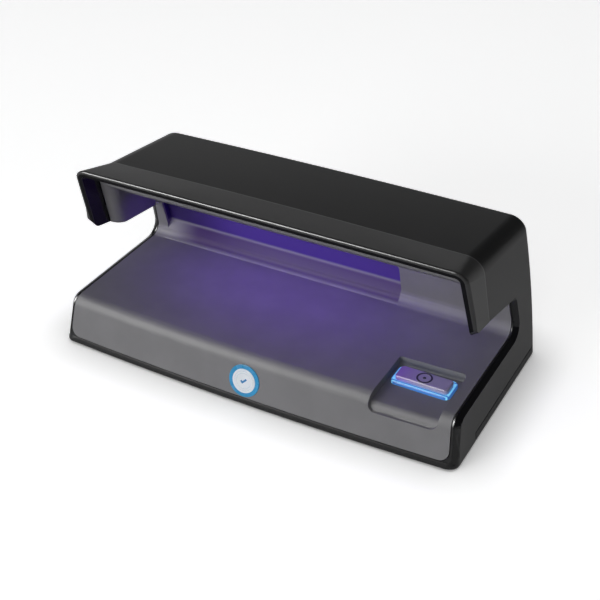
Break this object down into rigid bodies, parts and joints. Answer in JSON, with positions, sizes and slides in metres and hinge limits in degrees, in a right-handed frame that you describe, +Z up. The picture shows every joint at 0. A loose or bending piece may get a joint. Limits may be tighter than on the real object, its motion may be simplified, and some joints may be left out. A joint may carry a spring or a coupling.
{
  "type": "counterfeit bill detector",
  "caption": "Compact desktop ultraviolet banknote checker: an open C-shaped housing with a lamp in the canopy over a grey viewing tray, and a lit push button.",
  "frame": {"origin": "centre of the footprint of the whole product, on the table it stands on", "axes": "+X to the viewer's right along the width, +Y from the front to the back, +Z up"},
  "size_m": [0.2058, 0.102, 0.0893],
  "materials": {
    "shell_black": "satin textured",
    "cover_black": "matt textured",
    "foot_rubber": "matt",
    "screw_steel": "bright zinc",
    "tray_grey": "matt textured",
    "badge_blue": "gloss",
    "liner_grey": "matt textured",
    "window_clear": "clear",
    "reflector_metal": "bright",
    "board_white": "white solder mask",
    "led_violet": "clear lens",
    "plug_white": "matt",
    "lead_black": "satin",
    "board_green": "solder mask",
    "coil_ferrite": "satin",
    "capacitor_can": "sleeved",
    "chip_black": "matt",
    "jack_black": "satin",
    "led_blue": "clear lens",
    "ring_clear": "frosted",
    "switch_black": "matt",
    "spring_steel": "bright",
    "plunger_white": "satin",
    "cap_grey": "satin"
  },
  "bodies": {
    "housing": {"outer_shell": "shell_black", "base_cover": "cover_black", "rubber_feet": "foot_rubber", "base_screws": "screw_steel", "inner_tray": "tray_grey", "front_badge": "badge_blue", "canopy_liner": "liner_grey", "liner_screws": "screw_steel", "lamp_window": "window_clear", "lamp_reflector": "reflector_metal", "led_board": "board_white", "uv_leds": "led_violet", "led_board_screws": "screw_steel", "lamp_plug": "plug_white", "lamp_lead": "lead_black", "main_board": "board_green", "main_board_screws": "screw_steel", "driver_coil": "coil_ferrite", "driver_capacitors": "capacitor_can", "driver_chip": "chip_black", "board_plugs": "plug_white", "dc_inlet_jack": "jack_black", "button_board": "board_green", "button_board_screws": "screw_steel", "button_plug": "plug_white", "button_lead": "lead_black", "ring_leds": "led_blue", "light_ring": "ring_clear", "switch_body": "switch_black", "switch_spring": "spring_steel"},
    "power_button": {"button_cap": "cap_grey", "switch_plunger": "plunger_white"}
  },
  "joints": [
    {"name": "button_press", "type": "slide", "parent": "housing", "child": "power_button", "axis": [0, 0, -1], "range_m": [0, 0.0018], "stiffness_N_per_m": 450, "springref_m": -0.0022, "deforming": ["switch_spring"]}
  ]
}
